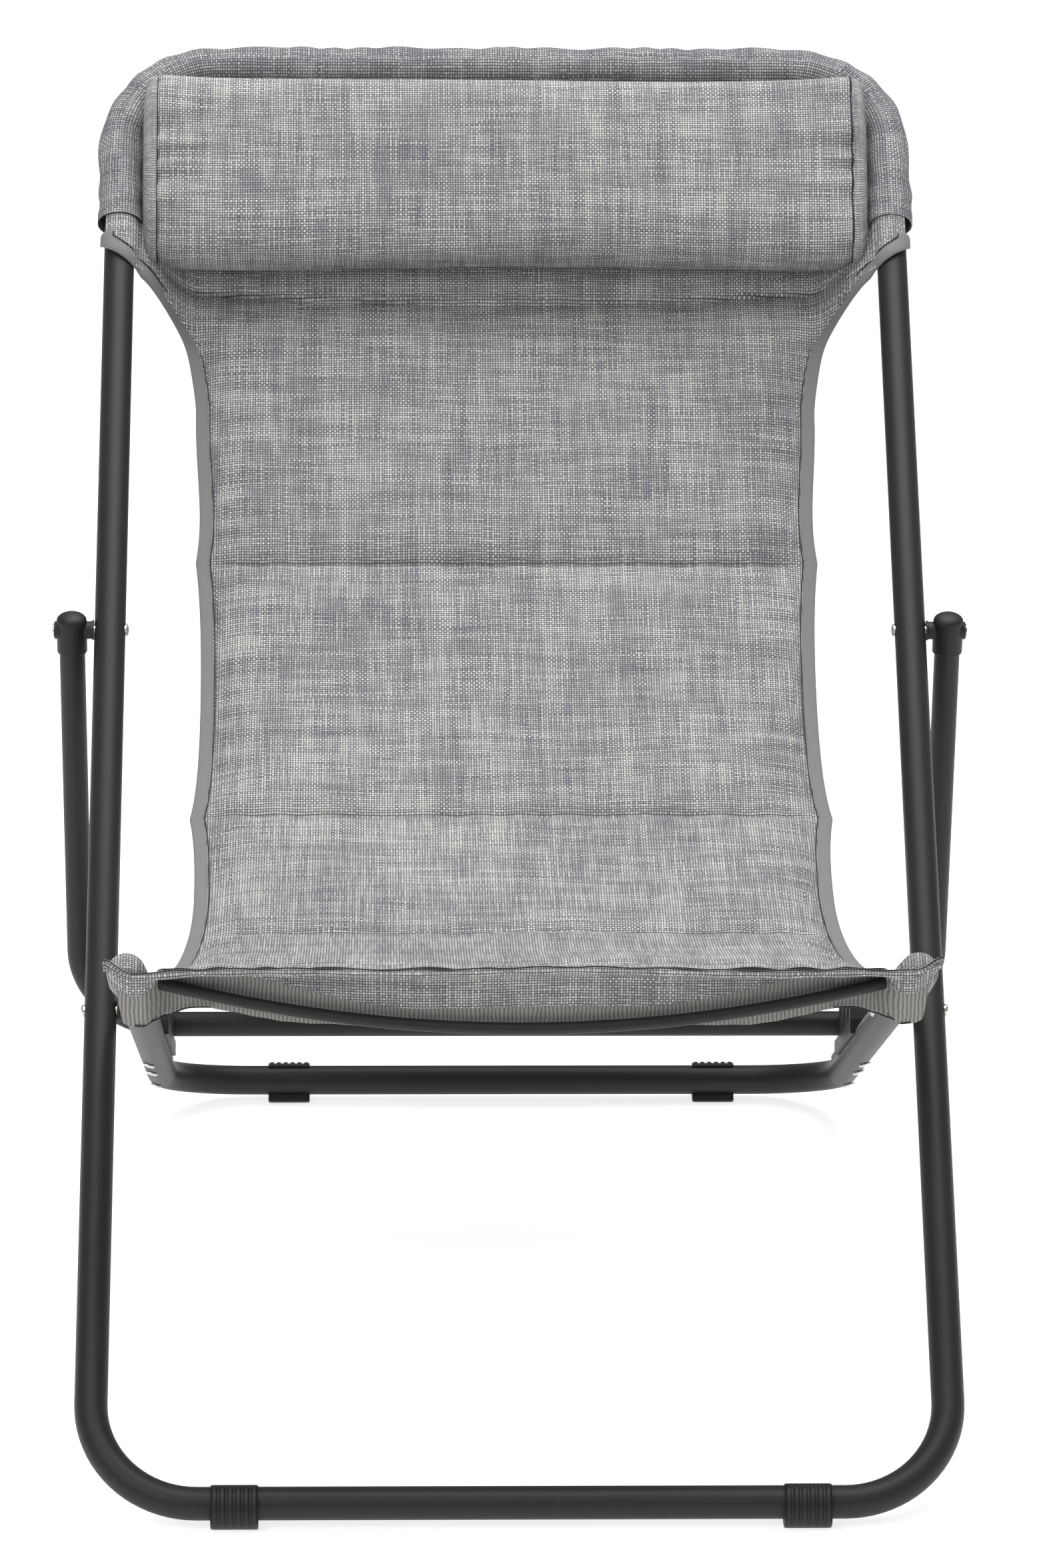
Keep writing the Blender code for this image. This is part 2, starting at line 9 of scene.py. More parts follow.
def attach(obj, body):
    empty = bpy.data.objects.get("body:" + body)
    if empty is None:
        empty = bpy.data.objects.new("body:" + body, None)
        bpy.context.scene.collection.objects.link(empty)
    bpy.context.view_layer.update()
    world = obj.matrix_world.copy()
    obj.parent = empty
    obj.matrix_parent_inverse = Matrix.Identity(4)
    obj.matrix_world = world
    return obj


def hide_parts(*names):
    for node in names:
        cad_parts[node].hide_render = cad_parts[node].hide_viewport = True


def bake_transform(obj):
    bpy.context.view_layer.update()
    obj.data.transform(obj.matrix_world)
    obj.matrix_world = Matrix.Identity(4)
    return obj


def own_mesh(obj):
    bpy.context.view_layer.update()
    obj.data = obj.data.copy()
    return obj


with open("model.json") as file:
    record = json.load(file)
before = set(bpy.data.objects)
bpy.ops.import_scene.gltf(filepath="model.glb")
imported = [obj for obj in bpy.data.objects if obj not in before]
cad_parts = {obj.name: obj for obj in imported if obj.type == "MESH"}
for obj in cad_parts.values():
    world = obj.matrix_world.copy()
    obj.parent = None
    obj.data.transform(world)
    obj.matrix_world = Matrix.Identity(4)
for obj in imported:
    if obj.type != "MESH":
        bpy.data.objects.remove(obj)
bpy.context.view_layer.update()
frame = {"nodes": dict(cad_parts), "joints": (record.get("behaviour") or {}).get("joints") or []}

# ---------------------------------------------------------------- side view of the chair
# Three tube frames cross in the side view: the back frame stands on its front rail, the seat frame on its
# rear rail, and the prop frame's rail lies on the seat frame. Every length is in metres.
GAP = 0.0003
WALL = 0.0012
TUBE_R = 0.0125
PROP_R = 0.01025
BACK_HALF, SEAT_HALF, PROP_HALF = 0.3205, 0.2902, 0.3510
BACK_LENGTH = 1.2935
SEAT_REAR, SEAT_FRONT = 0.5473, 0.2580
SEAT_PIVOT_T, PROP_PIVOT_T = 0.4074, 0.7474
BACK_ANGLE = math.radians(40.72)


class Plane:
    """A frame's own side view: along its tubes, up square to them, and the width across."""

    def __init__(self, base, angle):
        self.base = np.array(base, float)
        self.along = np.array([0.0, math.cos(angle), math.sin(angle)])
        self.up = np.array([0.0, -math.sin(angle), math.cos(angle)])

    def at(self, x, along, up=0.0):
        """base + x across + along * along + up * up, for numbers or for arrays of one shape."""
        x, along, up = np.broadcast_arrays(*(np.asarray(v, float) for v in (x, along, up)))
        across = np.array([1.0, 0.0, 0.0])
        return self.base + x[..., None] * across + along[..., None] * self.along + up[..., None] * self.up


joints = {j["name"]: np.array(j["pos_m"], float) for j in frame["joints"]}
back = Plane((0, 0, 0), BACK_ANGLE)
back.base = joints["seat_fold"] - SEAT_PIVOT_T * back.along
RAIL_Z = back.base[2]
seat = Plane(joints["seat_fold"], -math.asin((joints["seat_fold"][2] - RAIL_Z) / SEAT_REAR))
NOTCH_S, NOTCH_UP = 0.320, 0.02425
rail = seat.at(0, NOTCH_S, NOTCH_UP)
reach = rail - joints["prop_fold"]
prop = Plane(joints["prop_fold"], math.atan2(reach[2], reach[1]))
PROP_LENGTH = float(np.linalg.norm(reach))


def colour(text):
    """Linear RGBA of an sRGB hex colour."""
    parts = [int(text[k : k + 2], 16) / 255 for k in (1, 3, 5)]
    return (*(c / 12.92 if c <= 0.04045 else ((c + 0.055) / 1.055) ** 2.4 for c in parts), 1.0)


def smooth(low, high, value):
    """Smoothstep: 0 below low, 1 above high, 3t^2 - 2t^3 between them."""
    t = np.clip((np.asarray(value, float) - low) / (high - low), 0, 1)
    return t * t * (3 - 2 * t)


def add(tree, kind, inputs=None, **settings):
    """Adds a shader node with its settings, and fills its inputs with values or with other nodes' outputs."""
    made = tree.nodes.new("ShaderNode" + kind)
    for key, value in settings.items():
        setattr(made, key, value)
    for key, value in (inputs or {}).items():
        if isinstance(value, bpy.types.NodeSocket):
            tree.links.new(value, made.inputs[key])
        else:
            made.inputs[key].default_value = value
    return made


def maths(tree, operation, *values):
    """A Math node's output, from numbers or outputs."""
    return add(tree, "Math", dict(enumerate(values)), operation=operation).outputs[0]


def principled(name, **inputs):
    """A material with one Principled shader; returns the material, its tree and the shader."""
    made = bpy.data.materials.new(name)
    made.use_nodes = True
    shader = made.node_tree.nodes["Principled BSDF"]
    for key, value in inputs.items():
        shader.inputs[key.replace("_", " ")].default_value = value
    return made, made.node_tree, shader


def relief(tree, shader, height, strength, distance):
    """Raises the surface by a height pattern."""
    bump = add(tree, "Bump", {"Height": height, "Strength": strength, "Distance": distance})
    tree.links.new(bump.outputs[0], shader.inputs["Normal"])


def powder_coat():
    """Dark anthracite powder coat: a fine orange-peel grain about 0.6 mm across, and a soft sheen."""
    made, tree, shader = principled("anthracite powder coat", Roughness=0.48, Specular_IOR_Level=0.28)
    place = add(tree, "TexCoord").outputs["Object"]
    grain = add(tree, "TexNoise", {"Vector": place, "Scale": 900.0, "Detail": 2.0, "Roughness": 0.6})
    tint = add(tree, "MixRGB", {0: grain.outputs[0], 1: colour("#181916"), 2: colour("#292b27")})
    tree.links.new(tint.outputs[0], shader.inputs["Base Color"])
    relief(tree, shader, grain.outputs[0], 0.35, 0.0003)
    return made


def moulded_plastic():
    """Black moulded plastic with a fine spark-eroded grain."""
    made, tree, shader = principled(
        "black moulded plastic", Base_Color=colour("#1c1c1b"), Roughness=0.5, Specular_IOR_Level=0.3
    )
    place = add(tree, "TexCoord").outputs["Object"]
    grain = add(tree, "TexNoise", {"Vector": place, "Scale": 1500.0, "Detail": 1.0})
    relief(tree, shader, grain.outputs[0], 0.25, 0.0002)
    return made


def zinc():
    """Bright zinc-plated steel of rivet heads."""
    return principled("zinc plated steel", Base_Color=colour("#c9c8c4"), Metallic=1.0, Roughness=0.22)[0]


COAT = powder_coat()
PLASTIC = moulded_plastic()
ZINC = zinc()


def skin(name, points, look, wrap_rows=False, wrap_columns=False, uv=None, sharp=40.0, capped=False):
    """A mesh over a grid of points (rows, columns, 3), with quads between neighbours and, if asked, caps over
    the end rows. uv holds metres on the cloth at each corner of the grid, one more where the grid wraps."""
    rows, columns = points.shape[:2]
    i = np.arange(rows if wrap_rows else rows - 1)[:, None]
    j = np.arange(columns if wrap_columns else columns - 1)[None, :]
    near, far = i * columns, ((i + 1) % rows) * columns
    quads = np.stack(
        [near + j, near + (j + 1) % columns, far + (j + 1) % columns, far + j], -1
    ).reshape(-1, 4)
    middle = points.reshape(-1, 3).mean(0)
    a, b, c = (points.reshape(-1, 3)[quads[:, k]] - middle for k in (0, 1, 2))
    turned = np.einsum("ij,ij->i", a, np.cross(b, c)).sum() < 0
    order = [0, 3, 2, 1] if turned else [0, 1, 2, 3]
    index, starts = quads[:, order].ravel(), 4 * np.arange(len(quads))
    if capped:
        first, last = np.arange(columns), (rows - 1) * columns + np.arange(columns)
        ends = (first, last[::-1]) if turned else (first[::-1], last)
        starts = np.concatenate([starts, [len(index), len(index) + columns]])
        index = np.concatenate([index, *ends])
    mesh = bpy.data.meshes.new(name)
    mesh.vertices.add(rows * columns)
    mesh.vertices.foreach_set("co", points.astype(np.float32).ravel())
    mesh.loops.add(len(index))
    mesh.loops.foreach_set("vertex_index", index.astype(np.int32))
    mesh.polygons.add(len(starts))
    mesh.polygons.foreach_set("loop_start", starts.astype(np.int32))
    mesh.update(calc_edges=True)
    if uv is not None:
        corners = np.stack(
            [uv[i, j], uv[i, j + 1], uv[i + 1, j + 1], uv[i + 1, j]], -2
        ).reshape(-1, 4, 2)[:, order].reshape(-1, 2)
        if capped:
            corners = np.concatenate([corners, *(uv[n // columns, n % columns] for n in ends)])
        mesh.uv_layers.new(name="UVMap").data.foreach_set("uv", corners.astype(np.float32).ravel())
    mesh.shade_smooth()
    mesh.set_sharp_from_angle(angle=math.radians(sharp))
    mesh.materials.append(look)
    made = bpy.data.objects.new(name, mesh)
    bpy.context.scene.collection.objects.link(made)
    return made


def cloth_grid(across, along):
    """The uv of a grid of cloth: metres across and metres along, spread to one shape."""
    return np.stack(np.broadcast_arrays(across, along), -1)


def rounded(corners, radius, steps=20):
    """A path through corner points, each inner corner an arc: centre + radius * (cos, sin) in its plane."""
    corners = [np.array(c, float) for c in corners]
    path = [corners[0]]
    for before, corner, after in zip(corners, corners[1:], corners[2:]):
        to_a = (before - corner) / np.linalg.norm(before - corner)
        to_b = (after - corner) / np.linalg.norm(after - corner)
        half = math.acos(float(to_a @ to_b)) / 2
        middle = (to_a + to_b) / np.linalg.norm(to_a + to_b)
        centre = corner + middle * radius / math.sin(half)
        start = corner + to_a * radius / math.tan(half) - centre
        end = corner + to_b * radius / math.tan(half) - centre
        turn = math.pi - 2 * half
        for t in np.linspace(0, 1, steps + 1):
            mixed = start * math.sin((1 - t) * turn) + end * math.sin(t * turn)
            path.append(centre + mixed / math.sin(turn))
    path.append(corners[-1])
    return np.array(path)


def finely(path, step=0.02):
    """The same path with extra points, so that no step is longer than step."""
    out = [path[:1]]
    for a, b in zip(path, path[1:]):
        n = max(1, int(np.linalg.norm(b - a) / step))
        out.append(a + (b - a) * (np.arange(1, n + 1) / n)[:, None])
    return np.concatenate(out)


def swept(path, radius, normal, sides=40):
    """Rings about a path: p + r (cos a * normal + sin a * (tangent x normal)), r one value or one a point."""
    tangent = np.gradient(path, axis=0)
    tangent /= np.maximum(1e-9, np.linalg.norm(tangent, axis=1))[:, None]
    normal = np.broadcast_to(np.asarray(normal, float), path.shape)
    side = np.cross(tangent, normal)
    side /= np.linalg.norm(side, axis=1)[:, None]
    normal = np.cross(side, tangent)
    turns = 2 * np.pi * np.arange(sides) / sides
    r = np.broadcast_to(np.asarray(radius, float), len(path))[:, None, None]
    ring = np.cos(turns)[:, None] * normal[:, None] + np.sin(turns)[:, None] * side[:, None]
    return path[:, None] + r * ring


def tube(name, path, radius, normal, look, sides=40, wall=None):
    """A bar along a path with flat ends or, given a wall, a hollow tube with open ends."""
    path = finely(np.asarray(path, float))
    rings = swept(path, radius, normal, sides)
    if wall:
        bore = swept(path, radius - wall, normal, sides)[::-1]
        return skin(name, np.concatenate([rings, bore]), look, wrap_rows=True, wrap_columns=True)
    ends = [rings[:1] * 0 + path[0], rings[:1], rings[1:-1], rings[-1:], rings[:1] * 0 + path[-1]]
    return skin(name, np.concatenate(ends), look, wrap_columns=True)


def turned(name, base, axis, profile, look, sides=48):
    """A shape turned about an axis through base: profile holds (along, radius) pairs from end to end."""
    axis = np.array(axis, float) / np.linalg.norm(axis)
    other = np.array([0.0, 0, 1]) if abs(axis[2]) < 0.9 else np.array([1.0, 0, 0])
    u = np.cross(axis, other)
    u /= np.linalg.norm(u)
    w = np.cross(axis, u)
    turns = 2 * np.pi * np.arange(sides) / sides
    profile = np.array(profile, float)
    ring = np.cos(turns)[:, None] * u + np.sin(turns)[:, None] * w
    points = np.array(base, float) + profile[:, 0, None, None] * axis + profile[:, 1, None, None] * ring
    return skin(name, points, look, wrap_columns=True, sharp=35.0)


def dome(along, height, radius, steps=8):
    """(along, radius) pairs of a quarter ellipse that rises by height from its rim and closes on the axis."""
    turns = np.linspace(0, np.pi / 2, steps)
    return [(along + height * math.sin(t), max(1e-5, radius * math.cos(t))) for t in turns]


def place(made, body, slot, *nodes):
    """The piece rides a body and stands for CAD nodes, whose meshes it hides. The slot is not used."""
    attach(made, body)
    if nodes:
        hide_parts(*nodes)
    return made


# ---------------------------------------------------------------- back frame
# Cold-bent round steel tube, 25 mm, powder coated. The lower half is one long U with the front rail, the
# upper half is a short U with the top rail inside the cloth.
JOINT_T = 1.190
BACK_BEND, SEAT_BEND, PROP_BEND = 0.080, 0.075, 0.070


def back_u(high, low, half=BACK_HALF, bend=BACK_BEND):
    """The back frame's U: down one side from high, across at low, and up the other side."""
    corners = [back.at(-half, high), back.at(-half, low), back.at(half, low), back.at(half, high)]
    return rounded(corners, bend)


place(tube("back_frame_lower", back_u(JOINT_T - GAP, 0), TUBE_R, back.up, COAT, wall=WALL),
      "back", "coated_steel", "back_frame_lower")
place(tube("back_frame_upper", back_u(JOINT_T, BACK_LENGTH), TUBE_R, back.up, COAT, wall=WALL),
      "back", "coated_steel", "back_frame_upper")

# ---------------------------------------------------------------- seat frame and front bow
# The same 25 mm tube in a shorter U. Its front ends are joined by a bow, a bent 9 mm bar that dips in the
# middle and enters the tubes' inner walls.
BOW_R, BOW_SETBACK, BOW_DIP = 0.0046, 0.016, 0.040

seat_u = rounded(
    [seat.at(-SEAT_HALF, -SEAT_FRONT), seat.at(-SEAT_HALF, SEAT_REAR),
     seat.at(SEAT_HALF, SEAT_REAR), seat.at(SEAT_HALF, -SEAT_FRONT)],
    SEAT_BEND,
)
place(tube("seat_frame", seat_u, TUBE_R, seat.up, COAT, wall=WALL),
      "seat", "coated_steel", "seat_frame_tube")

share = np.linspace(-1, 1, 61)
bow = seat.at(SEAT_HALF * share, BOW_SETBACK - SEAT_FRONT, -BOW_DIP * (1 - share**2))
place(tube("front_bow", bow, BOW_R, seat.along, COAT, sides=28), "seat", "coated_steel", "front_bow")

# ---------------------------------------------------------------- prop frame and its tee caps
# A U of thinner tube, 20.5 mm, outside the back frame. Each upper end sits in a moulded tee: a domed socket
# with a boss that turns on a rivet through the back frame.
CAP_R, CAP_BELOW, CAP_ABOVE, CAP_DOME = 0.0121, 0.0185, 0.0085, 0.0065
BOSS_R, BOSS_BORE, BOSS_END = 0.0072, 0.0045, 0.3650
PROP_TOP = -0.0082

prop_u = rounded(
    [prop.at(-PROP_HALF, PROP_TOP), prop.at(-PROP_HALF, PROP_LENGTH),
     prop.at(PROP_HALF, PROP_LENGTH), prop.at(PROP_HALF, PROP_TOP)],
    PROP_BEND,
)
place(tube("prop_frame", prop_u, PROP_R, prop.up, COAT, wall=WALL), "prop", "coated_steel", "prop_frame")

WASHER = 0.0015
BOSS_IN = BACK_HALF + TUBE_R + GAP + WASHER + GAP
BOSS_LENGTH = BOSS_END - BOSS_IN
for side, word in ((-1, "left"), (1, "right")):
    base = prop.at(side * PROP_HALF, 0)
    socket = turned(
        f"prop_cap_{word}", base, -prop.along,
        [(-CAP_BELOW, PROP_R + GAP), (-CAP_BELOW, CAP_R - 0.0005), (0.0006 - CAP_BELOW, CAP_R),
         (CAP_ABOVE - 0.001, CAP_R), *dome(CAP_ABOVE, CAP_DOME, CAP_R)],
        PLASTIC,
    )
    boss = turned(
        f"prop_cap_boss_{word}", prop.at(side * BOSS_IN, 0), (side, 0, 0),
        [(0, BOSS_BORE), (0, BOSS_R), (BOSS_LENGTH - 0.0008, BOSS_R), (BOSS_LENGTH - 0.0002, BOSS_R - 0.0003),
         (BOSS_LENGTH, BOSS_R - 0.0009), (BOSS_LENGTH, BOSS_BORE)],
        PLASTIC,
    )
    place(socket, "prop", "black_plastic", f"prop_cap_{word}")
    place(boss, "prop", "black_plastic")

# ---------------------------------------------------------------- rivets
# Domed rivets on the two pivots, and blind rivets under the seat tubes that hold the racks.
SHANK_R, SEAT_HEAD_R, PROP_HEAD_R = 0.0040, 0.0050, 0.0054
RACK_RIVETS, RACK_RIVET_TILT = (0.295, 0.360, 0.466), math.radians(20.0)


def rivet(name, centre, side, inner, outer, head, inner_dome, outer_dome):
    """A rivet across the frames from inner to outer: a shank with a domed head at each end. Each dome is its
    rim's thickness and its rise."""
    span = outer - inner
    near = [(-along, radius) for along, radius in dome(*inner_dome, head)[::-1]]
    far = dome(span + outer_dome[0], outer_dome[1], head)
    shank = [(0, head), (0, SHANK_R), (span, SHANK_R), (span, head)]
    made = turned(name, centre + np.array([side * inner, 0, 0]), (side, 0, 0), [*near, *shank, *far], ZINC)
    place(made, "back", "rivet_steel", name)


for side, word in ((-1, "left"), (1, "right")):
    rivet(f"seat_rivet_{word}", back.at(0, SEAT_PIVOT_T), side, SEAT_HALF - TUBE_R - GAP,
          BACK_HALF + TUBE_R + GAP, SEAT_HEAD_R, (0.0004, 0.0024), (0.0004, 0.0024))
    rivet(f"prop_rivet_{word}", back.at(0, PROP_PIVOT_T), side, BACK_HALF - TUBE_R - GAP,
          BOSS_END + GAP, PROP_HEAD_R, (0.0004, 0.0022), (0.0003, 0.0012))
    down = side * math.sin(RACK_RIVET_TILT) * np.array([1.0, 0, 0]) - math.cos(RACK_RIVET_TILT) * seat.up
    rim = TUBE_R + GAP
    profile = [(-rim - 0.0013, 1e-5), (-rim - 0.0013, 0.0022), (rim, 0.0022), (rim, 0.0052),
               (rim + 0.0003, 0.0054), *dome(rim + 0.0008, 0.0013, 0.0054)]
    for n, s in enumerate(RACK_RIVETS, 1):
        name = f"rack_rivet_{word}_{n}"
        made = turned(name, seat.at(side * SEAT_HALF, s), down, profile, ZINC, sides=32)
        place(made, "seat", "rivet_steel", name)

# ---------------------------------------------------------------- clip feet
# Moulded clips on the two floor rails, open on one side, ribbed in front, with a flat sole.
FOOT_WIDTH, FOOT_DEEP, FOOT_THIN, FOOT_LIP = 0.0354, 0.0055, 0.0018, 0.0012
FRONT_FOOT_X, REAR_FOOT_X = 0.2125, 0.1830


def foot(name, x, y, facing):
    """A clip: 1.8 mm thick round the rail, swelling towards the sole, less a groove between its six ribs,
    where a cosine of the width dips."""
    across = np.linspace(-0.5, 0.5, 81)
    turn = np.radians(np.linspace(82, 314, 56))
    part = (turn - turn[0]) / (turn[-1] - turn[0])
    radius = TUBE_R + GAP + FOOT_THIN + (FOOT_DEEP + FOOT_LIP - FOOT_THIN) * np.minimum(1, 1.35 * part)
    below = -np.sin(turn)
    radius = np.where(below > 0.05, np.minimum(radius, RAIL_Z / np.maximum(below, 0.05)), radius)
    edge = 1 - np.abs(across * 2) ** 24
    ridge = 0.5 - 0.5 * np.cos(2 * np.pi * (across + 0.5) * 6)
    groove = (1 - smooth(0.15, 0.6, ridge)) * smooth(0.004, 0.03, 0.5 - np.abs(across))
    where = smooth(0.02, 0.08, part) * (1 - smooth(0.52, 0.60, part))
    out = radius[None] - 0.0011 * groove[:, None] * where[None] - 0.0007 * (1 - edge)[:, None]
    inside = np.radians(np.linspace(314, 82, 30))
    y_out, z_out = out * np.cos(turn), out * np.sin(turn)
    bore = TUBE_R + GAP
    y_in = np.broadcast_to(bore * np.cos(inside), (81, 30))
    z_in = np.broadcast_to(bore * np.sin(inside), (81, 30))
    ys, zs = np.concatenate([y_out, y_in], 1), np.concatenate([z_out, z_in], 1)
    xs = np.broadcast_to((x + FOOT_WIDTH * across)[:, None], ys.shape)
    rings = np.stack([xs, y + facing * ys, RAIL_Z + zs], -1)
    ends = [rings[:1].copy(), rings, rings[-1:].copy()]
    for end in (ends[0], ends[2]):
        outer, hole = end[:, :56], end[:, 56:]
        index = np.round(np.linspace(29, 0, 56)).astype(int)
        outer[:] = (hole[:, index] + outer) / 2
        hole[:] = outer[:, np.round(np.linspace(55, 0, 30)).astype(int)]
    return skin(name, np.concatenate(ends), PLASTIC, wrap_columns=True, sharp=32.0)


for side, word in ((-1, "left"), (1, "right")):
    front = foot(f"front_foot_{word}", side * FRONT_FOOT_X, back.at(0, 0)[1], 1)
    rear = foot(f"rear_foot_{word}", side * REAR_FOOT_X, seat.at(0, SEAT_REAR)[1], -1)
    place(front, "back", "black_plastic", f"front_foot_{word}")
    place(rear, "seat", "black_plastic", f"rear_foot_{word}")

# ---------------------------------------------------------------- the cloth's line
# The sling hangs from the top rail to the front ends of the seat frame in a catenary. Distances s run from
# the front hem up to the top rail.
SLING_LENGTH = 1.128
HEM = seat.at(0, -SEAT_FRONT - 0.0045, 0.0010)[1:]
TOP = back.at(0, BACK_LENGTH)[1:]
SEAMS = (0.034, 0.220, 0.416, 0.683, 0.928, 1.10)


def catenary_shape(start, end, length):
    """a and the lowest point's x of y = a cosh(x / a) for that length between two points, from
    2a sinh(span / 2a) = sqrt(length^2 - rise^2)."""
    span, rise = end - start
    low, high = 0.01, 50.0
    for _ in range(80):
        a = math.sqrt(low * high)
        if 2 * a * math.sinh(span / (2 * a)) > math.sqrt(length**2 - rise**2):
            low = a
        else:
            high = a
    return a, (start[0] + end[0]) / 2 - a * math.atanh(rise / length)


HANG, LOWEST = catenary_shape(HEM, TOP, SLING_LENGTH)


def hang(s):
    """Depth y, height z and slope at s along the cloth: y = y0 + a asinh((s0 + s) / a) and
    z = a cosh((y - y0) / a) + c."""
    y = LOWEST + HANG * np.arcsinh((HANG * math.sinh((HEM[0] - LOWEST) / HANG) + s) / HANG)
    drop = HEM[1] - HANG * math.cosh((HEM[0] - LOWEST) / HANG)
    return y, HANG * np.cosh((y - LOWEST) / HANG) + drop, np.arctan(np.sinh((y - LOWEST) / HANG))


def half_width(s):
    """Half the cloth's width: 249 mm, 20 mm more at the front hem, 7 mm more where a seam holds it out, and
    from s = 0.84 flared to 336 mm over the side tubes. Past s = 1.03 it narrows to fit the top bend."""
    front = 0.0110 * (1 - smooth(-0.03, 0.06, s)) + 0.0125 * (1 - smooth(0.03, 0.30, s))
    held_out = 0.0068 * np.exp(-np.abs(s - 0.416) / 0.042) + 0.0070 * np.exp(-np.abs(s - 0.686) / 0.055)
    flare = 0.0078 * smooth(0.70, 0.82, s) + 0.0060 * smooth(0.82, 0.88, s)
    wrap = 0.0735 * smooth(0.80, 0.9405, s) ** 6
    top_bend = 0.086 * (np.clip(s - 1.03, 0, 0.085) / 0.085) ** 2.5
    return 0.2492 + front + held_out + flare + wrap - top_bend


WRAP = 0.0160


def cloth(s, x, lift=0.0):
    """A point of the sling: the hanging line at s, x across, raised lift off it. Above s = 0.84 the cloth's
    sides leave that line and run over the front of the side tubes, at 16 mm from their middle."""
    s, x, lift = np.broadcast_arrays(*(np.asarray(v, float) for v in (s, x, lift)))
    y, z, slope = hang(s)
    point = np.stack([x, y - lift * np.sin(slope), z + lift * np.cos(slope)], -1)
    depth = (point - back.base) @ back.up
    over = WRAP * np.sqrt(np.clip(1 - ((np.abs(x) - BACK_HALF) / WRAP) ** 2, 0, 1))
    taken = smooth(0.255, BACK_HALF - WRAP, np.abs(x)) * smooth(0.84, 0.93, s)
    return point + ((over + lift - depth) * taken)[..., None] * back.up


# ---------------------------------------------------------------- cloth materials
# Polyester yarn in a coarse open mesh, 2.1 mm a thread, dyed in greys with a violet cast: each thread fades
# between light and dark along its length, which draws faint streaks both ways.
WEAVE = 0.0021


def cloth_place(tree):
    """Outputs of a piece's place on the cloth in metres: across, then along."""
    return add(tree, "SeparateXYZ", {0: add(tree, "UVMap", uv_map="UVMap").outputs[0]}).outputs


def noise(tree, place, detail, roughness=0.5):
    """Smooth noise, one unit a cell, at a place given by up to three numbers or outputs."""
    where = add(tree, "CombineXYZ", dict(enumerate(place))).outputs[0]
    settings = {"Vector": where, "Scale": 1.0, "Detail": detail, "Roughness": roughness}
    return add(tree, "TexNoise", settings).outputs[0]


def ribs(tree, value):
    """|sin(pi value)|: one rounded rib for each whole step of the value."""
    return maths(tree, "ABSOLUTE", maths(tree, "SINE", maths(tree, "MULTIPLY", value, math.pi)))


def mesh_cloth(name, light="#cccbc6", middle="#98989a", dark="#5e5d68", hollow_shade="#35353a"):
    """The weave: threads of one pitch both ways, each with its own slow tone, over and under in turn. Where
    the weave runs low, between the threads, its colour turns dark: painted shade.
    """
    made, tree, shader = principled(name, Roughness=0.82, Specular_IOR_Level=0.25)
    x, y = cloth_place(tree)[:2]
    across, along = maths(tree, "DIVIDE", x, WEAVE), maths(tree, "DIVIDE", y, WEAVE)
    tones = []
    for own, run, seed in ((across, along, 3.0), (along, across, 41.0)):
        number = maths(tree, "MULTIPLY", maths(tree, "FLOOR", own), 7.31)
        fine = noise(tree, (number, maths(tree, "MULTIPLY", run, 0.035), seed), 3.0, 0.65)
        slow = maths(tree, "MULTIPLY", own, 0.085)
        band = noise(tree, (slow, maths(tree, "MULTIPLY", run, 0.012), seed + 9), 2.0, 0.6)
        fine, band = maths(tree, "MULTIPLY", fine, 0.68), maths(tree, "MULTIPLY", band, 0.32)
        tones.append(maths(tree, "ADD", fine, band))
    row = maths(tree, "ADD", maths(tree, "FLOOR", along), 1000.0)
    turn = maths(tree, "MODULO", maths(tree, "ADD", maths(tree, "FLOOR", across), row), 2.0)
    tone = add(tree, "Mix", {0: turn, 2: tones[0], 3: tones[1]}).outputs[0]
    round_across, round_along = (maths(tree, "POWER", ribs(tree, v), 0.6) for v in (across, along))
    height = maths(tree, "MULTIPLY", round_across, round_along)
    ramp = add(tree, "ValToRGB", {0: tone})
    stops = ((0.30, dark), (0.47, middle), (0.60, light), (0.72, light))
    for n, (position, text) in enumerate(stops):
        stop = ramp.color_ramp.elements[n] if n < 2 else ramp.color_ramp.elements.new(position)
        stop.position, stop.color = position, colour(text)
    # Painted shade: the low parts of the weave, in the hollows between threads, take the dark colour.
    shade = add(tree, "MapRange", {0: height, 1: 0.18, 2: 0.72})
    mixed = add(tree, "MixRGB", {0: shade.outputs[0], 1: colour(hollow_shade), 2: ramp.outputs[0]})
    tree.links.new(mixed.outputs[0], shader.inputs["Base Color"])
    relief(tree, shader, height, 0.5, 0.0006)
    return made


def ribbed(name, value, low, high, strength, distance):
    """A cloth of one-way ribs: value(tree, across, along) counts them; low is the troughs' tone, darkened as
    painted shade, and high the crests' tone.
    """
    made, tree, shader = principled(name, Roughness=0.85)
    rib = ribs(tree, value(tree, *cloth_place(tree)[:2]))
    mixed = add(tree, "MixRGB", {0: rib, 1: colour(low), 2: colour(high)})
    tree.links.new(mixed.outputs[0], shader.inputs["Base Color"])
    relief(tree, shader, rib, strength, distance)
    return made


def twill(tree, across, along):
    """Fine diagonal ribs 0.9 mm apart."""
    return maths(tree, "DIVIDE", maths(tree, "ADD", across, along), 0.0009)


def crinkle(tree, across, along):
    """Wavy ribs about 3 mm apart: across / 3 mm, pushed aside by noise with cells of 17 by 11 mm."""
    cells = (maths(tree, "MULTIPLY", across, 60.0), maths(tree, "MULTIPLY", along, 90.0))
    aside = maths(tree, "MULTIPLY", noise(tree, cells, 2.0), 1.1)
    return maths(tree, "ADD", maths(tree, "DIVIDE", across, 0.0030), aside)


CLOTH = mesh_cloth("grey mesh cloth")
# A darker copy of the same mesh cloth, for the top sleeve: painted shade.
PAINTED_SHADE_CLOTH = mesh_cloth("grey mesh cloth, darker", "#b4b4b3", "#86868a", "#53525d", "#303035")
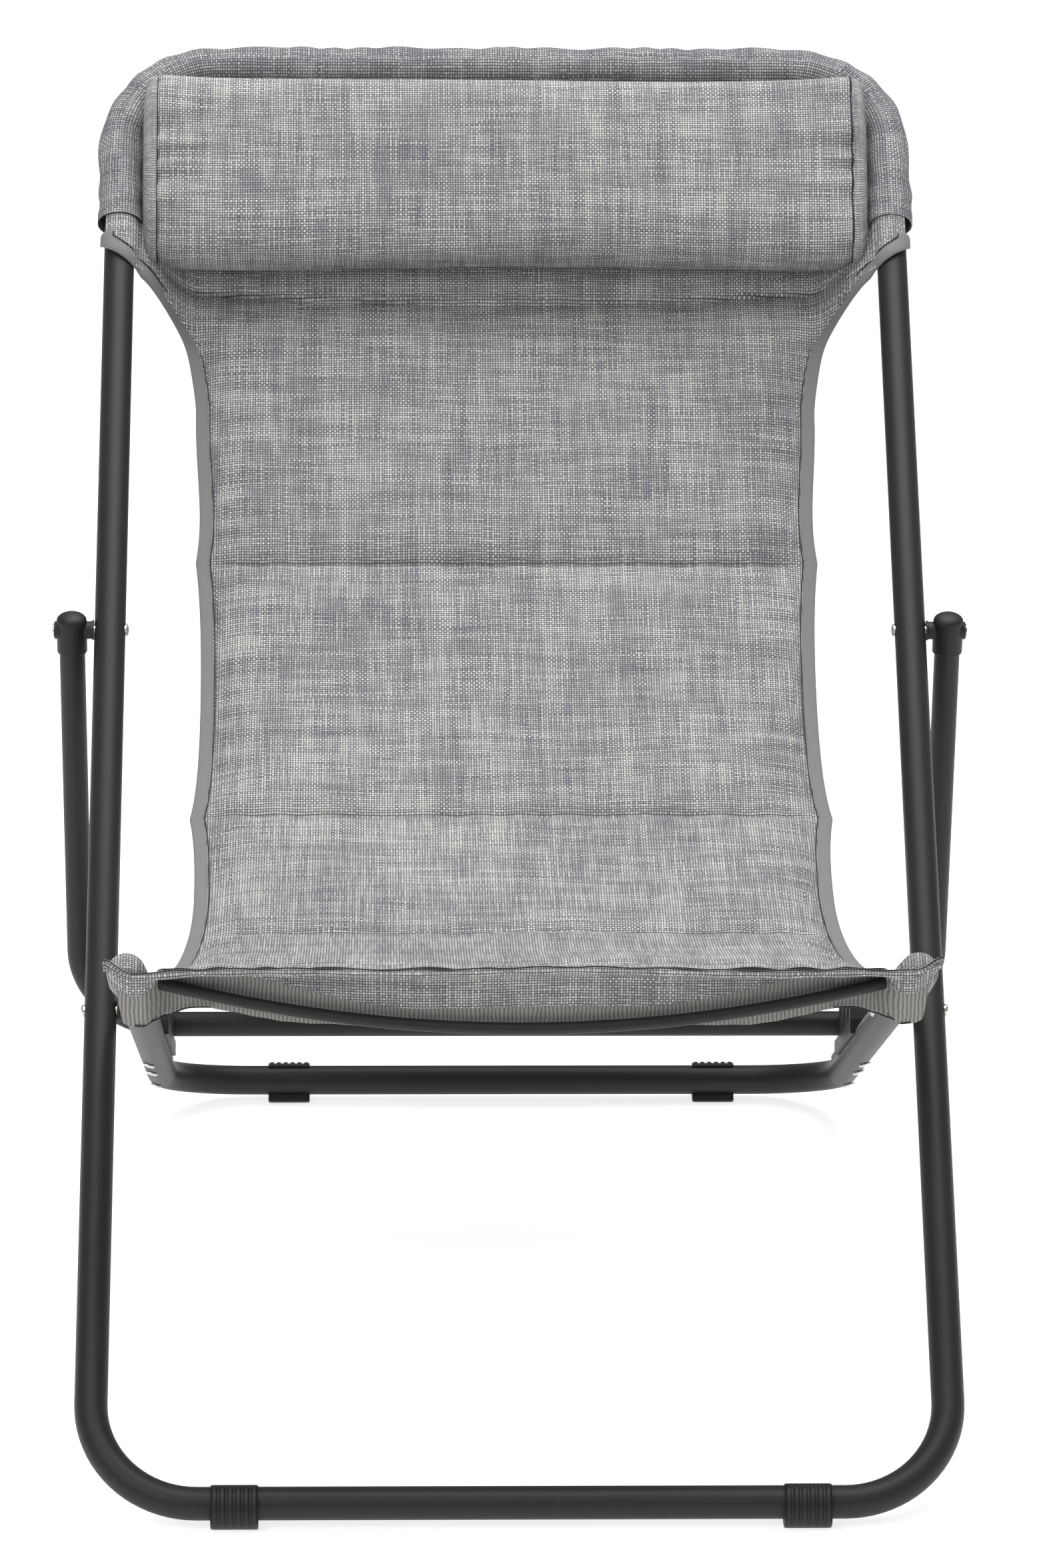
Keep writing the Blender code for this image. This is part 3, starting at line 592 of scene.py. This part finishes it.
# Each ribbed cloth's darker tone fills its rib troughs: painted shade.
TAPE = ribbed("grey twill tape", twill, "#59595b", "#7f7f7e", 0.3, 0.0003)
LINING = ribbed("ribbed lining cloth", crinkle, "#55534f", "#918f8c", 0.4, 0.0006)
THREAD = principled("black sewing thread", Base_Color=colour("#1b1b1e"), Roughness=0.8)[0]

# ---------------------------------------------------------------- padded sling
# Two layers of mesh cloth with foam between them, sewn across at each seam, with tape bound round both
# edges. The sling is made in two parts, split at the crossing; the part above it rides the back frame.
TAPE_WIDTH, TAPE_THICK = 0.0115, 0.0034
FLAT, PUFF = 0.0012, 0.0118
SPLIT = 0.300
TOP_SEAM_SAG = 0.014
CLOTH_TOP = 1.115


def padding(s, x, half):
    """Height of the front layer over the middle of the cloth: 1.2 mm at seams and tape, and up to 13 mm
    between them, as (1 - |2a - 1|^5)^0.6 along and (1 - (1 - b)^2.4)^0.7 across, with small gathers that run
    in from the tape. The top seam sags 14 mm in the middle, and the cloth above it hangs over it by 4 mm.
    Before the first pad a flat fold 4 mm high runs beside the front hem."""
    s, x = np.broadcast_arrays(s, x)
    s = s - TOP_SEAM_SAG * ((x / half) ** 2 - 0.5) * smooth(0.80, 0.90, s) * (1 - smooth(0.96, 1.02, s))
    full = np.zeros_like(s)
    for low, high in zip(SEAMS, SEAMS[1:]):
        a = np.clip((s - low) / (high - low), 0, 1)
        full = np.where((s >= low) & (s <= high), (1 - np.abs(2 * a - 1) ** 5) ** 0.6, full)
    aside = half - TAPE_WIDTH - np.abs(x)
    puff = (1 - (1 - np.clip(aside / 0.050, 0, 1)) ** 2.4) ** 0.7
    puff = puff * (1 - smooth(0.262, 0.300, np.abs(x)) * smooth(0.84, 0.90, s))
    near = np.exp(-np.clip(aside, 0, 1) / 0.026) * smooth(0.0, 0.008, aside)
    gather = 0.0026 * np.sin(2 * np.pi * s / 0.031 + 2.5 * np.sin(s * 37 + np.sign(x))) * near
    clear = np.clip(aside / 0.02, 0, 1)
    pull = 0.0009 * np.sin(2 * np.pi * x / 0.047 + 2 * np.sin(x * 29)) * (1 - full) * clear
    slack = 0.0016 * np.sin(9 * x + 21 * s) * np.sin(31 * x - 13 * s) * full
    from_fold = s - 0.017 - 0.003 * np.sin(9 * x)
    fold = 0.0042 * np.exp(-((from_fold / 0.0085) ** 2)) * clear
    over = s - SEAMS[4]
    lip = 0.0045 * smooth(-0.0005, 0.0025, over) * np.exp(-np.clip(over, 0, 1) / 0.02)
    return FLAT + PUFF * full * puff + gather * full * (puff > 0) + pull + fold + (slack + lip) * puff


def sling(name, first, last, rows):
    """The padded panel between two distances: front layer, then back layer, closed round both edges."""
    beside = np.array([-0.003, -0.0015, -0.0006, 0.0006, 0.0015, 0.003])
    seams = [seam + beside for seam in SEAMS if first + 0.01 < seam < last - 0.01]
    s = np.sort(np.concatenate([np.linspace(first, last, rows), *seams]))
    even = np.linspace(-1, 1, 141)
    front_share = 0.5 * np.sin(np.pi / 2 * even) + 0.5 * even
    behind_share = np.linspace(1, -1, 45)[1:-1]
    half = half_width(s)[:, None]
    inner = half - 0.4 * TAPE_WIDTH
    x = front_share[None] * inner
    front = cloth(s[:, None], x, padding(s[:, None], x, half))
    x = behind_share[None] * inner
    behind = cloth(s[:, None], x, -0.5 * padding(s[:, None], x, half))
    uv = cloth_grid(np.concatenate([front_share, behind_share, front_share[:1]])[None] * inner, s[:, None])
    grid = np.concatenate([front, behind], 1)
    return skin(name, grid, CLOTH, wrap_columns=True, uv=uv, sharp=60.0, capped=True)


def edge_line(first, last, inset, step=0.004):
    """Points (s, x) along the cloth's edge, inset square to it, and the inward direction at each."""
    s = np.arange(first, last + 0.0002, 0.0004)
    x = half_width(s)
    far = np.concatenate([[0], np.cumsum(np.hypot(np.diff(s), np.diff(x)))])
    even = np.linspace(0, far[-1], max(3, int(far[-1] / step)))
    s, x = np.interp(even, far, s), np.interp(even, far, x)
    run, out = np.gradient(s), np.gradient(x)
    size = np.hypot(run, out)
    return s + inset * out / size, x - inset * run / size, out / size, -run / size


def tape(name, side, first, last):
    """Bound tape: a flat section with round edges, 11.5 mm wide and 3.4 mm thick, along the cloth's edge."""
    s, x, in_s, in_x = (v[:, None] for v in edge_line(first, last, TAPE_WIDTH / 2))
    a = 2 * np.pi * np.arange(20) / 20
    width = np.sign(np.cos(a)) * np.abs(np.cos(a)) ** 0.5 * TAPE_WIDTH / 2
    lift = np.sign(np.sin(a)) * np.abs(np.sin(a)) ** 0.8 * TAPE_THICK / 2 + 0.0002
    rings = cloth(s + in_s * width, side * (x + in_x * width), lift[None])
    girth = np.linspace(0, 2.3 * TAPE_WIDTH, 21)
    along = 0.004 * np.arange(len(s))
    uv = cloth_grid(girth, along[:, None])
    return skin(name, rings, TAPE, wrap_columns=True, uv=uv, sharp=80.0, capped=True)


def thread(name, s, x, lift, radius=0.0006):
    """A line of sewing thread laid on the cloth at (s, x)."""
    path = cloth(s, x, lift)
    return skin(name, swept(path, radius, back.up, 8), THREAD, wrap_columns=True)


lower_pieces, upper_pieces = [], []
lower_sling = sling("seat_sling", 0.0, SPLIT, 110)
upper_sling = sling("back_sling", SPLIT, CLOTH_TOP, 280)
lower_pieces.append(lower_sling)
upper_pieces.append(upper_sling)
for side, word in ((-1, "left"), (1, "right")):
    lower_pieces.append(tape(f"edge_tape_seat_{word}", side, 0.012, SPLIT))
    upper_pieces.append(tape(f"edge_tape_back_{word}", side, SPLIT, 0.948))
    runs = ((0.03, SPLIT, lower_pieces, "seat"), (SPLIT, 0.945, upper_pieces, "back"))
    for first, last, kept, part in runs:
        s, x = edge_line(first, last, TAPE_WIDTH + 0.0003, 0.005)[:2]
        kept.append(thread(f"edge_stitch_{part}_{word}", s, side * x, 0.0021, 0.0005))

for made in lower_pieces:
    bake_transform(made)
for made in upper_pieces:
    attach(made, "back")
    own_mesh(made)
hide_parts("seat_panel")
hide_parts("back_panel")

# ---------------------------------------------------------------- top sleeve
# The upper end of the sling is sewn into a bag of two layers, pulled over the top of the back frame. It
# follows the round corners loosely, with a hem round each side tube.
SLEEVE_LOW, SLEEVE_OUT, SLEEVE_IN = 1.137, 0.0186, 0.0176


def sleeve():
    """A loose cloth tube round the frame's upper U: radius 19 mm, a little more along the top, with folds."""
    path = finely(back_u(SLEEVE_LOW, BACK_LENGTH), 0.004)
    distance = np.concatenate([[0], np.cumsum(np.linalg.norm(np.diff(path, axis=0), axis=1))])
    whole = distance[-1]
    ends = np.minimum(distance, whole - distance)
    turns = 2 * np.pi * np.arange(56) / 56
    ripple = 0.0007 * np.sin(ends[:, None] * 190 + 3 * np.cos(turns)[None] + 2 * np.sin(ends[:, None] * 41))
    ripple += 0.0006 * np.sin(distance[:, None] * 63 + 2 * turns[None])
    radius = SLEEVE_OUT + 0.0006 * smooth(0.12, 0.30, ends)[:, None]
    radius = radius + ripple * smooth(0.0, 0.02, ends)[:, None]
    rings = swept(path, 1.0, back.up, 56) - path[:, None]
    outer = path[:, None] + rings * radius[..., None]
    inner = path[:, None] + rings * SLEEVE_IN
    girth = np.linspace(0, 2 * np.pi * 0.016, 57)
    along = np.concatenate([distance, distance[::-1], distance[:1]])
    grid = np.concatenate([outer, inner[::-1]])
    # The sleeve takes the darker copy of the mesh cloth: painted shade.
    return skin("top_sleeve_cloth", grid, PAINTED_SHADE_CLOTH, wrap_rows=True, wrap_columns=True,
                uv=cloth_grid(along[:, None], girth))


top_sleeve = place(sleeve(), "back", "mesh_cloth", "top_sleeve")

# ---------------------------------------------------------------- headrest pillow
# A bolster of mesh cloth over soft filling: a long front panel gathered onto a flat end panel at each side,
# fullest in the middle. It hangs over the top of the sling.
PILLOW_HALF, PILLOW_END = 0.3020, 0.0130
PILLOW_HIGH, PILLOW_DEEP, PILLOW_LIFT = 0.082, 0.027, 0.040
PILLOW_MIDDLE = 1.0275


def pillow():
    """Superellipse rings along x: half height 82 mm, half depth 27 to 30 mm, the top edge 7 mm lower in the
    middle. Past the end seams, 13 mm in from the ends, the flat end panels bulge as a superellipse of power
    4; gathers run in from the seams. Returns the case and the two rings at its end seams."""
    seam = PILLOW_HALF - PILLOW_END
    y, z, slope = hang(np.array(PILLOW_MIDDLE))
    tangent = np.array([0.0, math.cos(slope), math.sin(slope)])
    front = np.array([0.0, -math.sin(slope), math.cos(slope)])
    middle = np.array([0.0, float(y), float(z)]) + front * PILLOW_LIFT
    a = 2 * np.pi * np.arange(1441) / 1440
    outline = np.stack([np.sign(np.cos(a)) * np.abs(np.cos(a)) ** 0.42 * PILLOW_HIGH,
                        np.sign(np.sin(a)) * np.abs(np.sin(a)) ** 0.62 * PILLOW_DEEP], 1)
    far = np.concatenate([[0], np.cumsum(np.linalg.norm(np.diff(outline, axis=0), axis=1))])
    girth = np.linspace(0, far[-1], 121)
    along, out = (np.interp(girth[:-1], far, outline[:, k]) for k in (0, 1))
    end_panel = seam + PILLOW_END * np.sin(np.linspace(0.10, 1.0, 16) * np.pi / 2)
    across = np.concatenate([np.linspace(0, seam - 0.0004, 90), [seam + 0.0004], end_panel])
    across = np.concatenate([-across[:0:-1], across])
    size = np.abs(across)
    past = np.clip((size - seam) / PILLOW_END, 0, 1)
    draw = np.where(size <= seam, 1.0, np.clip(1 - past**4, 0, 1) ** 0.25)
    draw = (draw * (1 - 0.022 * np.exp(-np.abs(size - seam) / 0.0025)))[:, None]
    near = (np.exp(-np.clip(seam - size, 0, 1) / 0.022) * (size <= seam))[:, None]
    turn = girth[:-1] / far[-1] * 2 * np.pi
    pucker = 0.0030 * near * np.sin(13 * turn + 1.3 * np.sign(across)[:, None] + 2 * np.sin(4 * turn))
    wave = 0.0012 * np.sin(across[:, None] * 11 + 2.0 * np.cos(turn)) * (1 - near)
    inside = np.clip(across / seam, -1, 1)[:, None]
    belly = 0.0035 * np.cos(inside * np.pi / 2)
    sag = 0.007 * (1 - inside**2) * smooth(-0.03, 0.08, along)
    high = along * draw * (1 + wave / 0.05) - sag
    deep = out * draw + out / PILLOW_DEEP * (belly + pucker + 0.5 * wave) * draw
    points = middle + high[..., None] * tangent + deep[..., None] * front
    points[..., 0] += across[:, None]
    run = across + np.sign(across) * 0.05 * past**2
    uv = cloth_grid(run[:, None], girth + 0.003)
    made = skin("pillow_case", points, CLOTH, wrap_columns=True, uv=uv, sharp=50.0, capped=True)
    return made, [points[row] for row in np.argsort(np.abs(size - seam))[:4:2]]


pillow_case, seam_rings = pillow()
pillow_pieces = [place(pillow_case, "back", "mesh_cloth", "headrest_pillow")]
for number, ring in enumerate(seam_rings, 1):
    sewn = skin(f"pillow_seam_{number}", swept(ring, 0.0007, (1, 0, 0), 8), THREAD, wrap_columns=True)
    pillow_pieces.append(place(sewn, "back", "mesh_cloth"))
for made in pillow_pieces:
    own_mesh(made)

# ---------------------------------------------------------------- front edge of the seat
# The sling's front edge is a rolled hem between the seat frame's front ends. A strip of mesh and a ribbed
# lining hang from it, and a pocket of the same cloth covers each front end.
END = seat.at(0, -SEAT_FRONT - 0.0045)
FLAP_IN, EAR = 0.2285, 0.3065
LINING_END, FACING_END = 0.2430, 0.2405


def hem_height(x):
    """Height of the hem over the seat frame's end: a slow wave, up 8 mm to a pinched ear at each corner."""
    size = np.abs(x)
    wave = 0.0022 + 0.0013 * np.sin(x * 26 + 0.6)
    return wave - 0.0016 * smooth(0.12, 0.23, size) + 0.0080 * smooth(0.284, EAR, size)


def hem_lead(x):
    """How far the hem runs ahead of the seat frame's end: 6.6 mm, and 10.2 mm past the tubes' middles."""
    return 0.0066 + 0.0036 * smooth(0.240, 0.275, np.abs(x))


def hanging(name, look, drop, first, last, columns, ahead=0.0, thick=0.0012):
    """A strip that falls from the hem by drop(x). Between the tubes it draws back behind the bow as it falls;
    outside |x| = 0.276 it stays ahead of the tube's end and curls back round it."""
    x = np.linspace(first, last, columns)
    part = np.linspace(0, 1, 18)[:, None]
    fall = part * drop(x)
    bow_y = seat.at(0, BOW_SETBACK - SEAT_FRONT, -BOW_DIP * (1 - (x / SEAT_HALF) ** 2))[..., 1] - END[1]
    size = np.abs(x)
    between = 1 - smooth(0.262, 0.277, size)
    curl = 0.010 * smooth(0.280, EAR, size) ** 2
    drawn = smooth(0.0, 0.012, fall) * between
    y = -hem_lead(x) * (1 - drawn) + (bow_y + BOW_R + 0.0024) * drawn + curl * smooth(0.0, 0.010, fall)
    y = y - 0.0018 * np.sin(np.pi * part) * (1 - between) - ahead
    y = y - 0.0005 * np.sin(x * 210 + 3 * np.sin(x * 33)) * part
    face = np.stack([np.broadcast_to(x, y.shape), END[1] + y, END[2] + hem_height(x) - fall], -1)
    inside = face + np.array([0, thick, 0])
    uv = cloth_grid(x, -fall)
    both = np.concatenate([face, inside[::-1]])
    return skin(name, both, look, wrap_rows=True, uv=np.concatenate([uv, uv[::-1], uv[:1]]), sharp=60.0)


def lining_drop(x):
    """Depth of the lining between the pockets: 37 mm beside them and 48 mm over the middle."""
    return 0.0365 + 0.0115 * (1 - smooth(0.16, 0.25, np.abs(x)))


def facing_drop(x):
    """Depth of the mesh facing: 33 mm in the middle, running out towards the pockets."""
    return 0.0060 + 0.0270 * (1 - smooth(0.08, 0.25, np.abs(x)))


def pocket_drop(x):
    """Depth of a pocket's front: 37 mm at its inner edge, 43 mm beside the tube, 39 mm under it, and drawn up
    outside it to the ear."""
    size = np.abs(x)
    under = 0.0368 + 0.0062 * np.exp(-(((size - 0.262) / 0.011) ** 2)) + 0.0020 * smooth(0.268, 0.280, size)
    ear = 0.0045 + 1.9 * np.clip(0.3045 - size, 0, 1)
    taken = smooth(0.2920, 0.2965, size)
    return under * (1 - taken) + ear * taken


def mesh_drop(x):
    """Depth of a pocket's mesh: 17 mm under the tube, running out beside it."""
    return np.minimum(pocket_drop(x) - 0.0004, 0.0015 + 0.0155 * smooth(0.244, 0.281, np.abs(x)))


def pocket_cover(name, side):
    """The pocket over a front end of the seat frame: a bag of two layers round the tube, its nose domed."""
    s = np.array([-0.2705, -0.2700, -0.2685, -0.2662, -0.2625, -0.255, -0.245, -0.233, -0.220, -0.2135])
    r = np.array([0.0001, 0.0038, 0.0079, 0.0112, 0.0135, 0.0144, 0.0146, 0.0148, 0.0150, 0.0152])
    x = np.full(10, side * SEAT_HALF)
    path = seat.at(x, s)
    outer = swept(path, r, seat.up, 40)
    lined = np.maximum(s, -0.2690) + 0.00002 * np.arange(10)
    inner = swept(seat.at(x, lined), np.maximum(0.00005, r - 0.0014), seat.up, 40)
    both = np.concatenate([outer, inner[::-1], outer[:1]])
    rise = (both - np.concatenate([path, path[::-1], path[:1]])[:, None]) @ seat.up
    uv = np.stack([both[..., 0], np.concatenate([s, s[::-1], s[:1]])[:, None] + rise], -1)
    uv = np.concatenate([uv, uv[:, :1]], 1)
    return skin(name, both[:-1], CLOTH, wrap_rows=True, wrap_columns=True, uv=uv)


lining = hanging("front_lining", LINING, lining_drop, -LINING_END, LINING_END, 260)
facing = hanging("front_facing", CLOTH, facing_drop, -FACING_END, FACING_END, 260, ahead=0.0008)
place(lining, "seat", "mesh_cloth")
place(facing, "seat", "mesh_cloth")

x = np.linspace(-EAR, EAR, 420)
hem_y = END[1] - hem_lead(x) + 0.008 * smooth(0.290, EAR, np.abs(x))
hem_path = np.stack([x, hem_y, END[2] + hem_height(x)], -1)
roll = (0.0030 + 0.0004 * np.sin(x * 140)) * (1 - 0.15 * smooth(0.285, EAR, np.abs(x)))
hem = skin("front_hem", swept(hem_path, roll, (0, 0, 1), 14), CLOTH, wrap_columns=True, capped=True,
           uv=cloth_grid(x[:, None], np.linspace(0, 0.016, 15)))
place(hem, "seat", "mesh_cloth")
above = np.stack([0 * x, -0.0010 + 0 * x, roll], -1)
stitch = skin("front_hem_stitch", swept(hem_path + above, 0.00055, (0, 0, 1), 8), THREAD,
              wrap_columns=True, capped=True)
place(stitch, "seat", "mesh_cloth")

for side, word in ((-1, "left"), (1, "right")):
    pocket = place(pocket_cover(f"pocket_cover_{word}", side), "seat", "mesh_cloth", f"corner_pocket_{word}")
    first, last = sorted((side * FLAP_IN, side * (EAR - 0.0005)))
    flap = hanging(f"pocket_front_{word}", LINING, pocket_drop, first, last, 130, ahead=0.0012)
    place(flap, "seat", "mesh_cloth")
    first, last = sorted((side * 0.2450, side * (EAR - 0.0005)))
    band = hanging(f"pocket_mesh_{word}", CLOTH, mesh_drop, first, last, 90, ahead=0.0020)
    place(band, "seat", "mesh_cloth")
    x = side * np.linspace(FLAP_IN + 0.001, 0.2835, 40)
    y_edge = np.interp(np.abs(x), [0.228, 0.262, 0.277, 0.284], [0.0140, 0.0165, -0.0126, -0.0121])
    edge = np.stack([x, END[1] + y_edge, END[2] + hem_height(x) - pocket_drop(x) + 0.0010], -1)
    rim = skin(f"pocket_stitch_{word}", swept(edge, 0.0006, (0, 0, 1), 8), THREAD,
               wrap_columns=True, capped=True)
    place(rim, "seat", "mesh_cloth")

# ---------------------------------------------------------------- CAD nodes that stay as they are
# Small turned pieces between the frames, the racks and the hidden joint pieces take their real finish.
for name, node in frame["nodes"].items():
    if node.hide_render:
        continue
    steel = "rivet" in name
    coat = name.startswith("frame_spigot")
    node.data.materials.clear()
    node.data.materials.append(COAT if coat else ZINC if steel else PLASTIC)

# ---------------------------------------------------------------- floor, light and camera
# A plain pale floor under an even bright studio.
floor_mesh = bpy.data.meshes.new("floor")
floor_mesh.from_pydata([(-9, -9, 0), (9, -9, 0), (9, 9, 0), (-9, 9, 0)], [], [(0, 1, 2, 3)])
floor = bpy.data.objects.new("floor", floor_mesh)
floor_look = principled("pale floor", Base_Color=(0.6, 0.6, 0.6, 1), Roughness=1.0,
                        Emission_Color=(1, 1, 1, 1), Emission_Strength=0.76)[0]
floor_mesh.materials.append(floor_look)
bpy.context.scene.collection.objects.link(floor)

world = bpy.data.worlds.new("studio")
world.use_nodes = True
world.node_tree.nodes["Background"].inputs[0].default_value = (1, 1, 1, 1)
world.node_tree.nodes["Background"].inputs[1].default_value = 0.36
bpy.context.scene.world = world


def softbox(name, place_at, aim, size, power):
    """A square area light that looks from one point to another."""
    light = bpy.data.lights.new(name, "AREA")
    light.size, light.energy = size, power
    made = bpy.data.objects.new(name, light)
    made.location = place_at
    look = np.array(aim, float) - np.array(place_at, float)
    w = -look / np.linalg.norm(look)
    u = np.cross((0, 0, 1), w)
    u /= np.linalg.norm(u)
    v = np.cross(w, u)
    made.rotation_euler = Matrix(np.stack([u, v, w], 1).tolist()).to_euler()
    bpy.context.scene.collection.objects.link(made)
    return made


softbox("key light", (-1.8, -3.4, 3.8), (0, 0, 0.5), 2.6, 78)
softbox("top light", (0.3, 0.6, 4.2), (0, 0, 0.4), 3.6, 222)

bpy.context.scene.view_settings.view_transform = "Standard"

pitch, yaw, roll = math.radians(20.604), math.radians(1.465), math.radians(0.511)
forward = np.array([math.sin(yaw) * math.cos(pitch), math.cos(yaw) * math.cos(pitch), -math.sin(pitch)])
level = np.array([math.cos(yaw), -math.sin(yaw), 0.0])
upright = np.cross(level, forward)
right = math.cos(roll) * level + math.sin(roll) * upright
up = -math.sin(roll) * level + math.cos(roll) * upright

lens = bpy.data.cameras.new("camera")
lens.lens, lens.sensor_width, lens.sensor_fit = 137.755, 36.0, "AUTO"
camera = bpy.data.objects.new("camera", lens)
view = Matrix(np.stack([right, up, -forward], 1).tolist()).to_4x4()
view.translation = back.base + np.array([-0.1055, -3.9734, 2.0634])
camera.matrix_world = view
bpy.context.scene.collection.objects.link(camera)
bpy.context.scene.camera = camera
